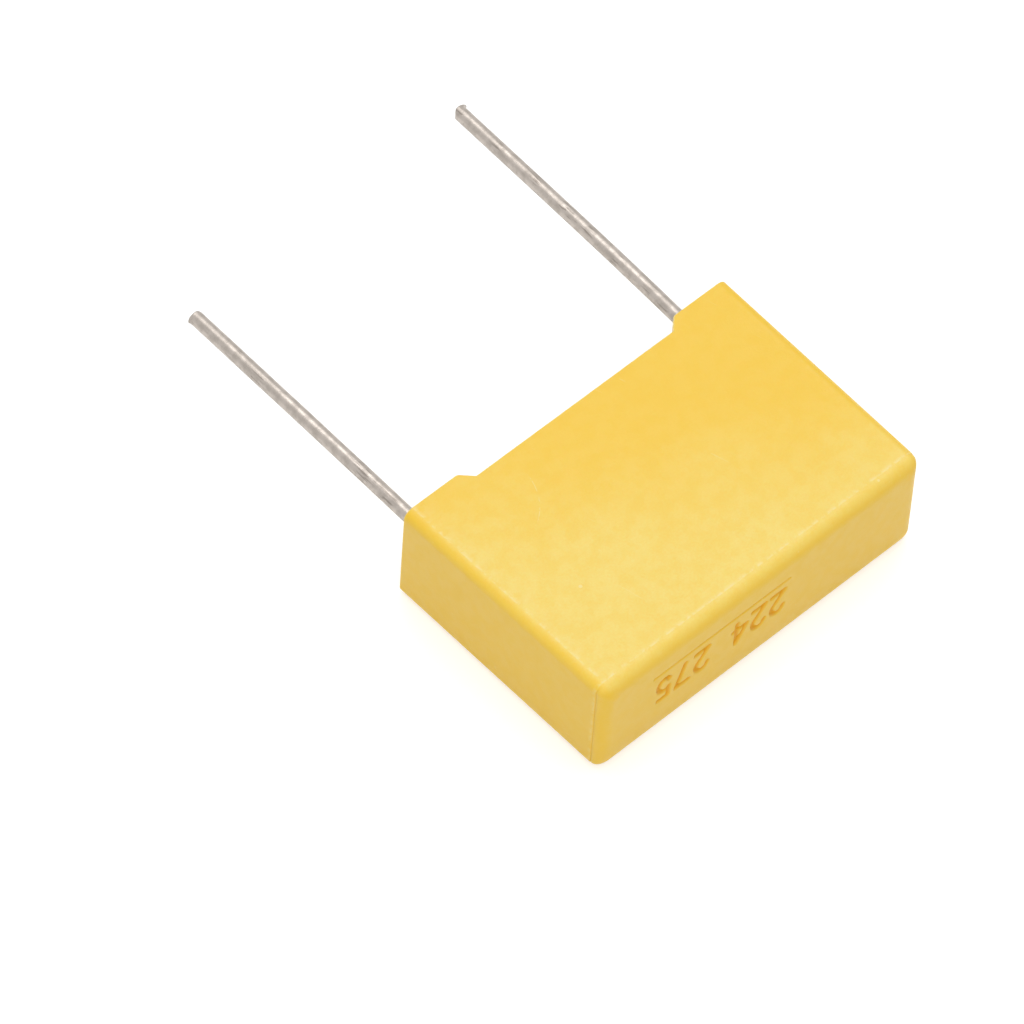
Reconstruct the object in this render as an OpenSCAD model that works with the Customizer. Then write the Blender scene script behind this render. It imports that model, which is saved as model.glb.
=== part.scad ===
// Box film capacitor: a metallised film winding potted in a moulded case, with two tinned leads.
// X runs along the width, +Y towards the leads and +Z up, and the case lies on a large face.
// The origin is the middle of that face. All sizes are in millimetres.

/* [Case] */
// Width of the case at its open end, along X
case_width = 17.8; // [16:0.1:20]
// Height of the case from the closed end to the tips of its feet, along Y
case_height = 11.8; // [11:0.1:14]
// Thickness of the case between its two large faces, along Z
case_thickness = 5.7; // [5.2:0.1:8]
// Thickness of the four side walls
side_wall = 0.8; // [0.6:0.05:1]
// Thickness of the wall at the closed end
end_wall = 0.8; // [0.6:0.05:1.2]
// How far each narrow side leans in from the open end to the closed end
side_draft = 0.09; // [0:0.01:0.15]
// Radius of the four outer edges that run along Y
long_edge_radius = 0.45; // [0.2:0.05:0.6]
// Radius of the outer edges around the closed end
end_edge_radius = 0.55; // [0.3:0.05:0.8]
// Radius of the four corners inside the case
inner_corner_radius = 0.4; // [0.2:0.05:0.6]

/* [Stand-off feet] */
// Length of each foot along the width, to where the recess is full depth
foot_length = 3.5; // [2.4:0.05:4.5]
// Depth of the recess between the feet
foot_height = 0.55; // [0.4:0.05:0.9]
// Slope of each foot's end, from the bottom of the recess, in degrees
foot_slope = 45; // [35:1:60]
// Radius of the round at the top of that slope
foot_round_radius = 0.25; // [0.1:0.05:0.4]
// Radius of the fillet where the slope meets the bottom of the recess
recess_fillet_radius = 0.1; // [0.05:0.05:0.2]

/* [Resin] */
// Depth of the resin's surface below the bottom of the recess
resin_below_recess = 0.4; // [0.2:0.05:0.7]
// Thickness of resin over the winding, at the open end
resin_over_winding = 0.75; // [0.4:0.05:1]
// Thickness of resin between the winding and the closed end
resin_under_winding = 0.2; // [0.1:0.05:0.4]
// Thickness of resin between the winding and each large face
resin_beside_winding = 0.2; // [0.1:0.05:0.4]
// Thickness of resin between each lead and the wall beside it
resin_beside_lead = 0.275; // [0.2:0.025:0.4]
// Distance that the collar of resin around a lead keeps from the wall
collar_edge_gap = 0.05; // [0.02:0.01:0.1]

/* [Film winding] */
// Thickness of the turns of plain film around the winding
cover_film_thickness = 0.1; // [0.05:0.01:0.15]
// Thickness of the metal sprayed on each end of the winding
contact_thickness = 0.5; // [0.3:0.05:0.7]

/* [Leads] */
// Diameter of the free part of each lead
lead_diameter = 0.65; // [0.6:0.05:0.8]
// Thickness of the coat of tin that only the free part of a lead has
tin_coat_thickness = 0.01; // [0.005:0.005:0.02]
// Length of the left lead beyond the feet
left_lead_length = 14.2; // [4:0.1:30]
// Length of the right lead beyond the feet
right_lead_length = 14.8; // [4:0.1:30]
// Width of each lead's tip that the cutter leaves square
tip_flat = 0.15; // [0.05:0.05:0.3]
// Depth to which each lead is pressed flat on its end contact
press_depth = 0.04; // [0.02:0.01:0.08]
// Length of lead that lies along its end contact
joint_length = 6; // [4:0.1:7]

/* [Solder joints] */
// Length of each bead of solder over its lead
solder_length = 3.2; // [2:0.1:3.6]
// Thickness of the solder over the lead
solder_thickness = 0.13; // [0.05:0.01:0.16]

/* [Hidden] */
$fn = 64;

// Sides of the case
open_end_y = case_height / 2;
closed_end_y = -case_height / 2;
middle_z = case_thickness / 2;

// Feet and the recess between them
recess_y = open_end_y - foot_height;
recess_half = case_width / 2 - foot_length;
slope_bottom_x = recess_half + recess_fillet_radius * sin(foot_slope);
slope_bottom_y = recess_y + recess_fillet_radius * (1 - cos(foot_slope));
slope_top_y = open_end_y - foot_round_radius * (1 - cos(foot_slope));
slope_top_x = slope_bottom_x + (slope_top_y - slope_bottom_y) / tan(foot_slope);
foot_flat_x = slope_top_x + foot_round_radius * sin(foot_slope);

// Cavity of the case
cavity_width = case_width - 2 * side_wall;
cavity_thickness = case_thickness - 2 * side_wall;
cavity_floor_y = closed_end_y + end_wall;

// Leads
lead_radius = lead_diameter / 2;
bare_radius = lead_radius - tin_coat_thickness;
lead_x = cavity_width / 2 - resin_beside_lead - lead_radius;
tip_round_radius = lead_diameter - tip_flat;

// Resin
resin_y = recess_y - resin_below_recess;
collar_radius = resin_beside_lead - collar_edge_gap;

// Winding in its cover film, between the end contacts
contact_face_x = lead_x - bare_radius + press_depth;
winding_end_x = contact_face_x - contact_thickness;
cover_top_y = resin_y - resin_over_winding;
cover_bottom_y = cavity_floor_y + resin_under_winding;
cover_height = cover_top_y - cover_bottom_y;
cover_thickness = cavity_thickness - 2 * resin_beside_winding;
winding_y = (cover_top_y + cover_bottom_y) / 2;
winding_height = cover_height - 2 * cover_film_thickness;
winding_thickness = cover_thickness - 2 * cover_film_thickness;

// Joints of the leads, along the flat of the winding's ends
joint_top_y = cover_top_y - cover_thickness / 2;
lead_root_y = joint_top_y - joint_length;
solder_y = joint_top_y - joint_length / 2;
solder_radius = lead_radius + solder_thickness;

// Extra length that lets a cutter pass right through what it cuts, or a piece run into its neighbour
through = 1;

// ---- Shapes that repeat ----

// A rectangle with round corners, centred
module round_rect(width, height, radius) {
    square([width - 2 * radius, height], center = true);
    square([width, height - 2 * radius], center = true);
    for (x = [-1, 1])
        for (y = [-1, 1])
            translate([x * (width / 2 - radius), y * (height / 2 - radius)])
                circle(radius);
}

// A stadium outline: a bar with half-round ends, centred, with its length along Y
module stadium(length, thickness) {
    square([thickness, length - thickness], center = true);
    for (y = [-1, 1])
        translate([0, y * (length - thickness) / 2])
            circle(d = thickness);
}

// Lays an outline drawn in X (width) and Z (thickness) along Y, from y1 to y2
module along_y(y1, y2)
    translate([0, y2, middle_z])
        rotate([90, 0, 0])
            linear_extrude(y2 - y1)
                children();

// Lays an outline drawn in Z (its X) and Y along X, from x1 to x2
module along_x(x1, x2)
    translate([x1, winding_y, middle_z])
        rotate([0, 90, 0])
            linear_extrude(x2 - x1)
                children();

// A side view of the closed end: two round corners, and sides that lean in by the draft
module end_outline(width, end_y, radius, draft) {
    corner_y = end_y + radius;
    corner_half = width / 2 - draft * (open_end_y - corner_y) / case_height;
    polygon([
        [-width / 2, open_end_y],
        [-corner_half, corner_y],
        [corner_half, corner_y],
        [width / 2, open_end_y]
    ]);
    translate([radius - corner_half, end_y])
        square([2 * (corner_half - radius), radius]);
    for (x = [-1, 1])
        translate([x * (corner_half - radius), corner_y])
            circle(radius);
}

// A box that is round on every edge but those of its open end
module moulded_box(width, thickness, end_y, edge_radius, end_radius)
    intersection() {
        along_y(end_y, open_end_y)
            round_rect(width, thickness, edge_radius);
        linear_extrude(case_thickness)
            end_outline(width, end_y, end_radius, side_draft);
        translate([-width / 2, 0, middle_z])
            rotate([0, 90, 0])
                linear_extrude(width)
                    end_outline(thickness, end_y, end_radius, 0);
    }

// The room inside the case, with its walls' draft
module cavity()
    moulded_box(cavity_width, cavity_thickness, cavity_floor_y, inner_corner_radius, inner_corner_radius);

// The recess between the feet: each foot ends in a slope, with a round above it and a fillet below
module recess_outline() {
    right_side = [
        [recess_half, recess_y],
        [slope_bottom_x, slope_bottom_y],
        [slope_top_x, slope_top_y],
        [foot_flat_x, open_end_y],
        [foot_flat_x, open_end_y + through]
    ];
    left_side = [for (i = [len(right_side) - 1:-1:0]) [-right_side[i].x, right_side[i].y]];
    difference() {
        union() {
            polygon(concat(right_side, left_side));
            // The fillets
            for (x = [-1, 1])
                translate([x * recess_half, recess_y + recess_fillet_radius])
                    circle(recess_fillet_radius);
        }
        // The rounds
        for (x = [-1, 1])
            translate([x * foot_flat_x, open_end_y - foot_round_radius])
                circle(foot_round_radius);
    }
}

// A round wire along Y, from y1 to y2
module wire(x, y1, y2, radius)
    translate([x, y1, middle_z])
        rotate([-90, 0, 0])
            cylinder(h = y2 - y1, r = radius);

// The part of a lead that is under the feet, without its thicker coat of tin. It runs up into the
// free part.
module bare_wire(side)
    wire(side * lead_x, lead_root_y, open_end_y + through, bare_radius);

// The side of a lead that is pressed flat on its end contact
module pressed_side(side)
    translate([side > 0 ? 0 : -contact_face_x, lead_root_y, 0])
        cube([contact_face_x, cover_top_y - lead_root_y, case_thickness]);

// What the cutter rounds off the inner side of a lead's tip
module tip_rounding(side, tip_y)
    translate([side * (lead_x - lead_radius), tip_y, 0])
        mirror([side > 0 ? 0 : 1, 0, 0])
            translate([tip_round_radius, -tip_round_radius, 0])
                linear_extrude(case_thickness)
                    difference() {
                        translate([-tip_round_radius - through, 0])
                            square([tip_round_radius + through, tip_round_radius + through]);
                        circle(tip_round_radius);
                    }

// A bead of solder: a round-ended bar around the lead, cut off at the end contact
module solder_bead(side)
    intersection() {
        translate([side * lead_x, solder_y, middle_z])
            rotate([90, 0, 0])
                union() {
                    cylinder(h = solder_length - 2 * solder_radius, r = solder_radius, center = true);
                    for (z = [-1, 1])
                        translate([0, 0, z * (solder_length / 2 - solder_radius)])
                            sphere(solder_radius);
                }
        translate([side > 0 ? contact_face_x : -case_width / 2, closed_end_y, 0])
            cube([case_width / 2 - contact_face_x, case_height, case_thickness]);
    }

// The winding's end outline with its cover film, from one x to another
module covered_winding(x1, x2)
    along_x(x1, x2)
        stadium(cover_height, cover_thickness);

// A collar of resin with a hollow flank, which tapers to nothing up the lead
module resin_collar(x)
    translate([x, resin_y, middle_z])
        rotate([-90, 0, 0])
            rotate_extrude()
                difference() {
                    square([bare_radius + collar_radius, collar_radius]);
                    translate([bare_radius + collar_radius, collar_radius])
                        circle(collar_radius);
                }

// ---- Sub-parts ----

module case() {
    color("#F5D56C")
        difference() {
            moulded_box(case_width, case_thickness, closed_end_y, long_edge_radius, end_edge_radius);
            cavity();
            translate([0, 0, -through])
                linear_extrude(case_thickness + 2 * through)
                    recess_outline();
        }
}

module potting_resin() {
    color("#E9DFB8")
        difference() {
            union() {
                intersection() {
                    cavity();
                    translate([-case_width / 2, closed_end_y, 0])
                        cube([case_width, resin_y - closed_end_y, case_thickness]);
                }
                for (side = [-1, 1])
                    resin_collar(side * lead_x);
            }
            covered_winding(-contact_face_x, contact_face_x);
            for (side = [-1, 1]) {
                bare_wire(side);
                solder_bead(side);
            }
        }
}

module film_winding() {
    color("#B9BCC2")
        along_x(-winding_end_x, winding_end_x)
            stadium(winding_height, winding_thickness);
}

module cover_film() {
    color("#E6E8EA")
        difference() {
            covered_winding(-winding_end_x, winding_end_x);
            along_x(-winding_end_x, winding_end_x)
                stadium(winding_height, winding_thickness);
        }
}

module end_contact(x1)
    color("#8F9296")
        covered_winding(x1, x1 + contact_thickness);

module left_end_contact() {
    end_contact(-contact_face_x);
}

module right_end_contact() {
    end_contact(winding_end_x);
}

// A lead: pressed flat where it is joined, and rounded over by the cutter at its tip
module lead(side, length) {
    tip_y = open_end_y + length;
    color("#C3BCB4")
        difference() {
            union() {
                wire(side * lead_x, open_end_y, tip_y, lead_radius);
                bare_wire(side);
            }
            pressed_side(side);
            tip_rounding(side, tip_y);
        }
}

module left_lead() {
    lead(-1, left_lead_length);
}

module right_lead() {
    lead(1, right_lead_length);
}

module solder_joint(side) {
    color("#D5D7D9")
        difference() {
            solder_bead(side);
            bare_wire(side);
        }
}

module left_solder_joint() {
    solder_joint(-1);
}

module right_solder_joint() {
    solder_joint(1);
}

case();
potting_resin();
film_winding();
cover_film();
left_end_contact();
right_end_contact();
left_lead();
right_lead();
left_solder_joint();
right_solder_joint();
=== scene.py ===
"""Box film capacitor: moulded case, potted open end and two tinned leads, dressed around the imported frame."""

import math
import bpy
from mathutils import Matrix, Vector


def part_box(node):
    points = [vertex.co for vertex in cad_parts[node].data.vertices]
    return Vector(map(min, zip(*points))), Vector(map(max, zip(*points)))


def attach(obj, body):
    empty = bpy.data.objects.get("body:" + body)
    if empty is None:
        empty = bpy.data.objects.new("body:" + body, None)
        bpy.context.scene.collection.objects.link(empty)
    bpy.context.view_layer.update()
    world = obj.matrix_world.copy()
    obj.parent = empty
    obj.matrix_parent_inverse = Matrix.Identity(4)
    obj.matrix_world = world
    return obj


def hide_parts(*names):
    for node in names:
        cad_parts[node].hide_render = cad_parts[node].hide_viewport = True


bl_info = {
    "name": "Box Film Capacitor",
    "version": (1, 0, 0),
    "blender": (4, 5, 0),
    "location": "View3D > Sidebar > Capacitor",
    "description": "Dresses a box film capacitor with moulded, potted and tinned surfaces",
    "category": "Object",
}

from collections import namedtuple
from random import Random

import bmesh
import bpy
from bpy.props import FloatProperty, FloatVectorProperty, IntProperty, PointerProperty, StringProperty
from mathutils import Matrix, Vector, geometry, noise

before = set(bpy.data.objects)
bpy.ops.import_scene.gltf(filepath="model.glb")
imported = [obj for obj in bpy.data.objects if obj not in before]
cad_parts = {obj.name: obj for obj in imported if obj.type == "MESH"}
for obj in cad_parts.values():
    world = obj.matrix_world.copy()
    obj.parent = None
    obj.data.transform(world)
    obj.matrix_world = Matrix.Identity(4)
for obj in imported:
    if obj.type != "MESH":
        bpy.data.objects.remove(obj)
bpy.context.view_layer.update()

MM = 0.001
CASE_LOW, CASE_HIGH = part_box("case")
RESIN_LOW, RESIN_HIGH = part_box("potting_resin")
MIDDLE_Z = (CASE_LOW.z + CASE_HIGH.z) / 2
HALF_THICKNESS = (CASE_HIGH.z - CASE_LOW.z) / 2

# Corners keep at least this radius where an outline is moved inwards
SMALLEST_RADIUS = 0.02 * MM


def linear(code):
    """The linear colour of a hex code."""
    values = [int(code[i:i + 2], 16) / 255 for i in (0, 2, 4)]
    return tuple(v / 12.92 if v <= 0.04045 else ((v + 0.055) / 1.055) ** 2.4 for v in values)


def length(name, description, millimetres):
    """A property that holds a length."""
    return FloatProperty(name=name, description=description, default=millimetres * MM, min=0,
                         precision=5, subtype="DISTANCE", unit="LENGTH")


def position(name, description, *millimetres):
    """A property that holds a place."""
    return FloatVectorProperty(name=name, description=description, size=3, precision=5,
                               default=[value * MM for value in millimetres],
                               subtype="TRANSLATION", unit="LENGTH")


def turn_angle(name, description, degrees):
    """A property that holds an angle."""
    return FloatProperty(name=name, description=description, default=math.radians(degrees),
                         subtype="ANGLE", unit="ROTATION")


def amount(name, description, default, least=0):
    """A property that holds a plain number."""
    return FloatProperty(name=name, description=description, default=default, min=least)


def colour(name, description, code):
    """A property that holds a colour."""
    return FloatVectorProperty(name=name, description=description, default=linear(code), size=3,
                               min=0, max=1, subtype="COLOR")


def factor(name, description, default):
    """A property that holds a share from 0 to 1."""
    return FloatProperty(name=name, description=description, default=default, min=0, max=1,
                         subtype="FACTOR")


# ---- Settings ----

class CaseSettings(bpy.types.PropertyGroup):
    """Sizes and colours of the moulded case."""

    wall: length("Wall", "Thickness of the case's walls", 0.8)
    side_draft: length("Side draft", "How far each narrow side leans in towards the closed end", 0.09)
    face_draft: length("Face draft", "How far each large face leans in towards the closed end", 0.03)
    long_edge_radius: length("Long edge radius", "Radius of the edges that run along the leads", 0.45)
    end_edge_radius: length("End edge radius", "Radius of the edges around the closed end", 0.5)
    end_side_radius: length("End side radius", "How far they reach in from the narrow sides", 0.65)
    end_face_radius: length("End face radius", "How far they reach in from the large faces", 0.75)
    face_corner_radius: length("Face corner radius", "Radius of the corners of the closed end's face", 0.32)
    inner_radius: length("Inner radius", "Radius of the corners inside the case", 0.4)
    rim_radius: length("Rim radius", "Radius of the rim's edges", 0.06)
    foot_length: length("Foot length", "Length of each foot, to where the recess is full depth", 3.5)
    foot_height: length("Foot height", "Depth of the recess between the feet", 0.55)
    foot_slope: FloatProperty(name="Foot slope", description="Slope of each foot's end", subtype="ANGLE",
                              default=math.radians(45), min=math.radians(30), max=math.radians(60))
    foot_round: length("Foot round", "Radius of the round above that slope", 0.25)
    recess_fillet: length("Recess fillet", "Radius of the fillet below that slope", 0.1)
    parting_step: length("Parting step", "Depth of the parting line on the narrow sides", 0.03)
    face_step: length("Face step", "Depth of the parting line on the large faces", 0.012)
    figures: StringProperty(name="Figures", description="Plain figures engraved in the closed end",
                            default="224 275")
    figures_start: length("Figures start", "Place of the first figure, from the middle", 1.3)
    figure_base: length("Figure base", "Height of the line that the figures stand on", 3.62)
    figure_height: length("Figure height", "Height of the figures", 1.45)
    figure_width: length("Figure width", "Width of the figures", 0.78)
    figure_pitch: length("Figure pitch", "Distance from one figure to the next", 1.05)
    stroke_width: length("Stroke width", "Width of the figures' strokes", 0.21)
    stroke_softness: length("Stroke softness", "Width of the strokes' sloping sides", 0.09)
    rule_overhang: length("Rule overhang", "How far the rule reaches past the figures", 0.2)
    rule_gap: length("Rule gap", "Distance from the figures to the rule below them", 0.5)
    rule_width: length("Rule width", "Width of the rule", 0.1)
    engraving_depth: length("Engraving depth", "Depth of the figures", 0.12)
    engraving_grid: length("Engraving grid", "Spacing of the mesh in the engraving", 0.035)
    plastic: colour("Plastic", "Colour of the moulded plastic", "FAD155")
    warm_plastic: colour("Warm plastic", "Colour of its faintly warmer patches", "F8CB44")
    # Painted sheen: the paler colour of the large faces towards the closed end, standing in for the pale
    # reflection of the light there
    sheen_plastic: colour("Pale plastic", "Colour of the large faces near the closed end", "FAE486")
    # Painted shade: the deeper colour that the fillets get, though the plastic there is the same and only
    # catches less light
    shaded_fillet_plastic: colour("Deep plastic", "Colour of the plastic in its fillets", "FECE34")
    # Painted shade: the deeper colour given to the engraving's hollows and the parting groove
    hollow_shade_plastic: colour("Engraved plastic", "Colour of the plastic in hollows", "F0AE00")
    # Pale edge colour: partly rubbed wear and partly a painted highlight along the edges
    worn_highlight_plastic: colour("Worn plastic", "Colour of the plastic on rubbed edges", "FFF0B8")
    # Painted shade: how strongly the fillets take that deeper colour
    fillet_shade_strength: factor("Fillet tint", "How much deeper the colour of the fillets is", 0.6)
    # Painted shade: how strongly the hollows take that deeper colour
    hollow_shade_strength: factor("Engraving tint", "How much deeper the colour in hollows is", 1.0)
    # How pale the edge lines are: partly rubbed wear and partly a painted highlight
    edge_wear_and_highlight: factor("Edge paleness", "How pale the rubbed edges are", 0.45)
    # How much of the pale edge line, wear and painted highlight, the right side's long edges get
    right_edge_line: factor("Right wear", "How much of that the right side's long edges have", 0.15)
    scuff_centre: position("Scuff centre", "Middle of the scuff on the upper face", -6.6, 4.4, 0)
    scuff_radius: length("Scuff radius", "Radius of the curved scuff", 2.77)
    scuff_width: length("Scuff width", "Width of the curved scuff", 0.05)


class ResinSettings(bpy.types.PropertyGroup):
    """Shape and colours of the potting resin."""

    surface_depth: length("Surface depth", "Depth of the resin's surface below the feet", 0.95)
    wall_climb: length("Wall climb", "How far the resin climbs up the case's walls", 0.16)
    climb_width: length("Climb width", "How far from a wall the resin starts to climb", 0.22)
    lead_climb: length("Lead climb", "How far the resin climbs up the leads", 0.2)
    sag: length("Sag", "How far the middle of the surface has sunk", 0.08)
    bubbles: IntProperty(name="Bubbles", description="Number of burst bubbles in the surface",
                         default=9, min=0)
    seed: IntProperty(name="Seed", description="Choice of places for the bubbles", default=4, min=0)
    resin: colour("Resin", "Colour of the cured resin", "EADAA4")
    cloudy_resin: colour("Cloudy resin", "Colour of the resin where filler has risen", "EFE3B9")


class LeadSettings(bpy.types.PropertyGroup):
    """Shape and colours of the leads."""

    wire_radius: length("Wire radius", "Radius of the free part of a lead", 0.325)
    bare_radius: length("Bare radius", "Radius of the part of a lead in the resin", 0.315)
    left_base_lean: length("Left base lean", "How far the left lead stands inwards at the feet", 0.05)
    left_tip_lean: length("Left tip lean", "How far the left lead's tip stands inwards", 0.1)
    right_base_lean: length("Right base lean", "How far the right lead stands outwards at the feet", 0.035)
    right_tip_lean: length("Right tip lean", "How far the right lead's tip stands outwards", 0.36)
    left_bow: length("Left bow", "How far the left lead's middle bows to the right", 0.025)
    right_bow: length("Right bow", "How far the right lead's middle bows to the right", 0.08)
    left_tip_extra: length("Left tip extra", "How far the left tip reaches past its cut length", 0.03)
    right_tip_extra: length("Right tip extra", "How far the right tip reaches past its cut length", 0.08)
    tip_round_width: length("Tip round width", "Width of the round on a tip's inner side", 0.27)
    left_tip_round: length("Left tip round", "Length of that round on the left lead", 0.24)
    right_tip_round: length("Right tip round", "Length of that round on the right lead", 0.36)
    left_burr: length("Left burr", "How far the burr stands out on the left lead's outer side", 0.055)
    right_burr: length("Right burr", "How far it stands out on the right lead's outer side", 0.11)
    burr_reach: length("Burr reach", "How far the burrs reach back from the tip", 0.2)
    burr_round: length("Burr round", "Radius of the burrs' tops", 0.1)
    tin: colour("Tin", "Colour of the clean tin", "BFB6AE")
    dull_tin: colour("Dull tin", "Colour of the tin's dull patches", "A39B93")
    drawn_tin: colour("Drawn tin", "Colour of the marks that drawing left along the wire", "857C74")


class InnerSettings(bpy.types.PropertyGroup):
    """Colours of the pieces inside the resin."""

    film: colour("Film", "Colour of the metallised film", "C6C9CF")
    dull_film: colour("Dull film", "Colour of the film between its turns", "9EA2AA")
    cover: colour("Cover", "Colour of the plain film around the winding", "EDEFF0")
    dull_cover: colour("Dull cover", "Colour of the plain film's creases", "D5D9DC")
    zinc: colour("Zinc", "Colour of the sprayed metal", "A5A8AC")
    dull_zinc: colour("Dull zinc", "Colour of the sprayed metal's hollows", "74777B")
    solder: colour("Solder", "Colour of the solder", "D9DBDD")
    dull_solder: colour("Dull solder", "Colour of the solder where it has dulled", "A9ABAE")


class StageSettings(bpy.types.PropertyGroup):
    """Camera and light."""

    azimuth: turn_angle("Azimuth", "Turn of the camera around the part", -46.358)
    elevation: turn_angle("Elevation", "Height of the camera above the level", 55.508)
    roll: turn_angle("Roll", "Turn of the camera around its own axis", 4.424)
    distance: length("Distance", "Distance from the camera to its target", 437.377)
    target: position("Target", "Point that the camera looks at", -4.164, 4.424, 2.877)
    lens: amount("Lens", "Focal length of the camera, in millimetres", 379.34, 1)
    key_brightness: amount("Key brightness", "Brightness of the softbox overhead", 1.8)
    fill_brightness: amount("Fill brightness", "Brightness of the fill beside the camera", 1.1)
    sky_brightness: amount("Sky brightness", "Brightness of the light from all round", 0.55)
    floor: colour("Floor", "Colour of the floor", "E4E4E3")


# ---- Meshes ----

def new_object(name, data):
    """An object in the scene."""
    piece = bpy.data.objects.new(name, data)
    bpy.context.scene.collection.objects.link(piece)
    return piece


def plain_object(name, vertices, faces):
    """An object in the scene from its points and faces."""
    data = bpy.data.meshes.new(name)
    data.from_pydata(vertices, [], faces)
    data.shade_smooth()
    return new_object(name, data)


def skin_object(name, mesh):
    """A smooth object from a finished skin, which has to be closed. Its faces turn outwards."""
    if any(not edge.is_manifold for edge in mesh.edges):
        raise RuntimeError(f"The skin of {name} isn't closed")
    bmesh.ops.recalc_face_normals(mesh, faces=mesh.faces)
    data = bpy.data.meshes.new(name)
    mesh.to_mesh(data)
    mesh.free()
    data.shade_smooth()
    return new_object(name, data)


def join_rings(mesh, first, second):
    """Faces between two rings with as many points."""
    count = len(first)
    for index in range(count):
        after = (index + 1) % count
        mesh.faces.new((first[index], first[after], second[after], second[index]))


def ring_edges(mesh, ring):
    """The edges of a closed ring of points."""
    return [mesh.edges.get(pair) for pair in zip(ring, ring[1:] + ring[:1])]


def arc(centre_x, centre_y, radius_x, radius_y, start, end, steps):
    """Points along an arc of an ellipse, with its angles in degrees."""
    turns = [math.radians(start + (end - start) * step / steps) for step in range(steps + 1)]
    return [(centre_x + radius_x * math.cos(turn), centre_y + radius_y * math.sin(turn)) for turn in turns]


def apply_modifiers(piece):
    """Makes the piece's modifiers part of its mesh."""
    evaluated = piece.evaluated_get(bpy.context.evaluated_depsgraph_get())
    piece.data = bpy.data.meshes.new_from_object(evaluated)
    piece.modifiers.clear()


def weight_normals(piece):
    """Keeps large flat faces flat beside their fillets."""
    modifier = piece.modifiers.new("Weighted normals", "WEIGHTED_NORMAL")
    modifier.keep_sharp = True
    apply_modifiers(piece)


def place(piece, material, slot, *nodes):
    """Gives a finished piece its material and its body, and hides the nodes that it stands for."""
    piece.data.materials.clear()
    piece.data.materials.append(material)
    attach(piece, "root")
    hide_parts(*nodes)


def dress(node, material):
    """Gives a CAD node a better material."""
    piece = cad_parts[node]
    for slot in piece.material_slots:
        slot.material = material


# ---- Case ----

# A column of the case's mesh: where it runs around the section, and how it meets the rim.
# x is its fixed place, spread and up move it with the size of the section, and facing_x and facing_z
# are the way that the wall faces there. rim_y is the rim's height, and into_x and into_y point into
# the wall from the rim. edge tells how much pale edge line it has, partly wear and partly a painted
# highlight, and round how much painted shade its fillet gets.
Column = namedtuple("Column", "x spread up facing_x facing_z rim_y into_x into_y edge round")

ARC_STEPS = 10
SLOPE_STEPS = 5
RECESS_STEPS = 24
WALL_STEPS = 8
RIM_STEPS = 4
FLOOR_STEPS = 5

# Columns from this far beyond the feet's rounds on move with the size of the section. Away from the
# rim, the columns of the feet's ends stand apart by FEET_SPREAD.
FEET_START = 0.05 * MM
FEET_SPREAD = 0.1 * MM

# Places across a narrow side, and across the flat ends of a large face with how much pale edge line, partly
# wear and partly a painted highlight, they have
SIDE_PLACES = (-0.97, -0.6, -0.2, 0.2, 0.6, 0.97)
FACE_PLACES = ((0.25, 0.0), (0.5, 0.0), (0.75, 0.1), (0.93, 0.25), (0.98, 0.7))

# The rows at the parting line: height above it in millimetres, depth as a share of the step, and how much
# of a pale edge line, partly wear and partly a painted highlight, and of painted shade in the groove they have
PARTING_ROWS = (
    (0.015, 1.8, 0.0, 0.12), (0.035, 1.6, 0.0, 0.12), (0.05, 0.8, 0.3, 0.05), (0.07, 0.25, 0.9, 0.0),
    (0.11, 0.03, 1.0, 0.0), (0.17, 0.0, 0.45, 0.0), (0.26, 0.0, 0.0, 0.0),
)
# How much of the long edges' pale lines, partly wear and partly a painted highlight, shows at the parting
# line, how pale the other edges are on the narrow sides, and how much painted fillet shade the closed
# end's edge gets
PARTING_EDGE_LINES = 0.5
SIDE_PALENESS = 0.6
END_FILLET_SHADE = 0.5

# Where the plain rows of the walls start above the parting line and end below the recess, and how far
# from the rim the rows that follow it lie
WALL_START = 0.6 * MM
WALL_END = 0.5 * MM
RIM_OFFSETS = (0.2 * MM, 0.14 * MM, 0.09 * MM)

# How pale the rim's edges are outside and inside, at most: partly wear and partly a painted highlight
OUTER_RIM_LINE = 1.5
INNER_RIM_LINE = 0.6


def recess_points(case):
    """The rim of a large face from one foot's end to the other's: x, y and the way into the wall."""
    recess_y = CASE_HIGH.y - case.foot_height
    slope = case.foot_slope
    fillet, foot_round = case.recess_fillet, case.foot_round
    floor_end = CASE_HIGH.x - case.foot_length
    slope_low_x = floor_end + fillet * math.sin(slope)
    slope_low_y = recess_y + fillet * (1 - math.cos(slope))
    slope_high_y = CASE_HIGH.y - foot_round * (1 - math.cos(slope))
    slope_high_x = slope_low_x + (slope_high_y - slope_low_y) / math.tan(slope)
    flat_start = slope_high_x + foot_round * math.sin(slope)
    side = []
    for step in range(ARC_STEPS + 1):
        turn = slope * step / ARC_STEPS
        side.append((flat_start - foot_round * math.sin(turn),
                     CASE_HIGH.y - foot_round * (1 - math.cos(turn)), math.sin(turn), -math.cos(turn)))
    for step in range(1, SLOPE_STEPS):
        share = step / SLOPE_STEPS
        side.append((slope_high_x + (slope_low_x - slope_high_x) * share,
                     slope_high_y + (slope_low_y - slope_high_y) * share, math.sin(slope), -math.cos(slope)))
    for step in range(ARC_STEPS + 1):
        turn = slope * (1 - step / ARC_STEPS)
        side.append((floor_end + fillet * math.sin(turn), recess_y + fillet * (1 - math.cos(turn)),
                     math.sin(turn), -math.cos(turn)))
    middle = [(floor_end * (1 - 2 * step / RECESS_STEPS), recess_y, 0, -1) for step in range(1, RECESS_STEPS)]
    other = [(-x, y, -into_x, into_y) for x, y, into_x, into_y in reversed(side)]
    return side + middle + other


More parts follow.
